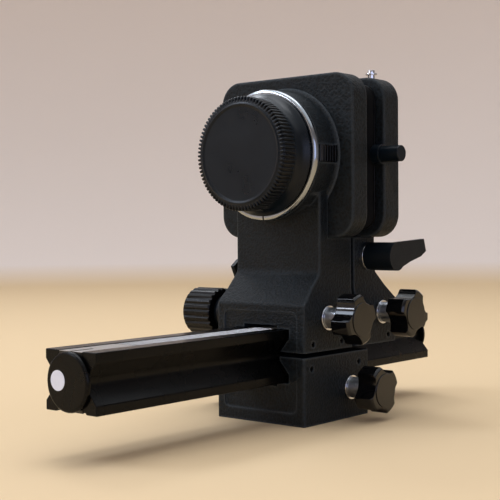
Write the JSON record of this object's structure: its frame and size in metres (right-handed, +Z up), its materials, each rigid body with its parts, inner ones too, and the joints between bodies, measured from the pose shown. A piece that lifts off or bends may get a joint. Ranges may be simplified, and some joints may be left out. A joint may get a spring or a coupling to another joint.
{
  "type": "macro bellows",
  "caption": "Close-up photography bellows: two geared standards on a dovetail rail over a tripod block, with a rotating camera mount, rear cap and lens board.",
  "frame": {"origin": "axis of the tripod socket on the underside of the tripod block", "axes": "+Z up, +Y along the rail towards the lens, +X across the rail towards the lock knobs"},
  "size_m": [0.1291, 0.2984, 0.2009],
  "materials": {
    "casting_paint": "fine black crinkle paint on cast aluminium",
    "rail_anodised": "glossy black anodised extrusion",
    "rack_steel": "milled blackened steel with bright tooth tips",
    "bright_steel": "ground steel",
    "bush_brass": "turned brass",
    "chrome": "polished chrome plate",
    "lock_plastic": "glossy black moulded plastic",
    "drive_knob_metal": "black ribbed metal",
    "cap_plastic": "satin black moulded plastic",
    "bellows_cloth": "matt black coated cloth",
    "label_white": "plain white label"
  },
  "bodies": {
    "tripod_stage": {"tripod_block": "casting_paint", "tripod_bush": "bright_steel", "block_gib": "bright_steel", "block_gib_screws": "bright_steel", "block_bushes": "bush_brass", "block_collar": "drive_knob_metal", "block_washer": "chrome"},
    "block_drive": {"block_shaft": "bright_steel", "block_drive_knob": "drive_knob_metal"},
    "block_lock": {"block_lock_stem": "chrome", "block_lock_knob": "lock_plastic"},
    "rail": {"rail": "rail_anodised", "upper_rack": "rack_steel", "lower_rack": "rack_steel", "rear_end_disc": "rail_anodised", "front_end_disc": "rail_anodised", "end_label": "label_white"},
    "rear_standard": {"rear_casting": "casting_paint", "rear_plate": "casting_paint", "rear_clamp": "drive_knob_metal", "bellows": "bellows_cloth", "button_spring": "bright_steel", "rear_gib": "bright_steel", "rear_gib_screws": "bright_steel", "rear_bushes": "bush_brass", "rear_collar": "drive_knob_metal", "rear_washer": "chrome"},
    "rear_drive": {"rear_shaft": "bright_steel", "rear_drive_knob": "drive_knob_metal"},
    "rear_lock": {"rear_lock_stem": "chrome", "rear_lock_knob": "lock_plastic"},
    "mount_button": {"mount_button": "lock_plastic"},
    "camera_mount": {"mount_ring": "chrome", "mount_sleeve": "casting_paint", "sleeve_retainer": "bright_steel", "mount_screws": "bright_steel"},
    "rear_cap": {"rear_cap": "cap_plastic"},
    "front_standard": {"front_casting": "casting_paint", "lens_board": "casting_paint", "front_clamp": "drive_knob_metal", "lever_washers": "chrome", "lens_ring": "chrome", "lens_screws": "bright_steel", "plunger_housing": "lock_plastic", "plunger_spring": "bright_steel", "cable_socket": "chrome", "front_gib": "bright_steel", "front_gib_screws": "bright_steel", "front_bushes": "bush_brass", "front_collar": "drive_knob_metal", "front_washer": "chrome"},
    "front_drive": {"front_shaft": "bright_steel", "front_drive_knob": "drive_knob_metal"},
    "front_lock": {"front_lock_stem": "chrome", "front_lock_knob": "lock_plastic"},
    "right_lever": {"right_lever": "lock_plastic"},
    "left_lever": {"left_lever": "lock_plastic"},
    "release_button": {"release_button": "chrome"},
    "plunger": {"plunger": "lock_plastic"}
  },
  "joints": [
    {"name": "stage_slide", "type": "slide", "parent": "tripod_stage", "child": "rail", "axis": [0, 1, 0], "range_m": [-0.085, 0.13]},
    {"name": "rear_slide", "type": "slide", "parent": "rail", "child": "rear_standard", "axis": [0, 1, 0], "range_m": [-0.115, 0], "deforming": ["bellows"]},
    {"name": "front_slide", "type": "slide", "parent": "rail", "child": "front_standard", "axis": [0, 1, 0], "range_m": [0, 0.045], "deforming": ["bellows"]},
    {"name": "block_drive_turn", "type": "hinge", "parent": "tripod_stage", "child": "block_drive", "pos_m": [0, 0.01315, 0.0175], "axis": [1, 0, 0], "range_deg": [-1090, 716]},
    {"name": "rear_drive_turn", "type": "hinge", "parent": "rear_standard", "child": "rear_drive", "pos_m": [0, -0.00905, 0.0589], "axis": [1, 0, 0], "range_deg": [-10, 965]},
    {"name": "front_drive_turn", "type": "hinge", "parent": "front_standard", "child": "front_drive", "pos_m": [0, 0.04595, 0.0589], "axis": [1, 0, 0], "range_deg": [-384, 10]},
    {"name": "block_lock_turn", "type": "hinge", "parent": "tripod_stage", "child": "block_lock", "pos_m": [0, 0.01315, 0.0175], "axis": [1, 0, 0], "range_deg": [-90, 20]},
    {"name": "rear_lock_turn", "type": "hinge", "parent": "rear_standard", "child": "rear_lock", "pos_m": [0, -0.00905, 0.0589], "axis": [1, 0, 0], "range_deg": [-90, 20]},
    {"name": "front_lock_turn", "type": "hinge", "parent": "front_standard", "child": "front_lock", "pos_m": [0, 0.04595, 0.0589], "axis": [1, 0, 0], "range_deg": [-90, 20]},
    {"name": "right_lever_turn", "type": "hinge", "parent": "front_standard", "child": "right_lever", "pos_m": [0, 0.03125, 0.0925], "axis": [1, 0, 0], "range_deg": [-10, 80]},
    {"name": "left_lever_turn", "type": "hinge", "parent": "front_standard", "child": "left_lever", "pos_m": [0, 0.03125, 0.0925], "axis": [1, 0, 0], "range_deg": [-80, 2]},
    {"name": "mount_turn", "type": "hinge", "parent": "rear_standard", "child": "camera_mount", "pos_m": [0, 0, 0.1505], "axis": [0, 1, 0], "continuous": true},
    {"name": "mount_button_press", "type": "slide", "parent": "rear_standard", "child": "mount_button", "axis": [-1, 0, 0], "range_m": [0, 0.0015], "stiffness_N_per_m": 400, "springref_m": -0.002, "deforming": ["button_spring"]},
    {"name": "cap_pull", "type": "slide", "parent": "camera_mount", "child": "rear_cap", "axis": [0, -1, 0], "range_m": [0, 0.06]},
    {"name": "plunger_press", "type": "slide", "parent": "front_standard", "child": "plunger", "axis": [-1, 0, 0], "range_m": [0, 0.003], "stiffness_N_per_m": 300, "springref_m": -0.002, "deforming": ["plunger_spring"]},
    {"name": "release_press", "type": "slide", "parent": "front_standard", "child": "release_button", "axis": [0, -1, 0], "range_m": [0, 0.0018], "stiffness_N_per_m": 400, "springref_m": -0.002}
  ],
  "couplings": [
    {"joint": "block_drive_turn", "follows": "stage_slide", "rad_per_m": -144.93},
    {"joint": "rear_drive_turn", "follows": "rear_slide", "rad_per_m": -144.93},
    {"joint": "front_drive_turn", "follows": "front_slide", "rad_per_m": -144.93}
  ]
}
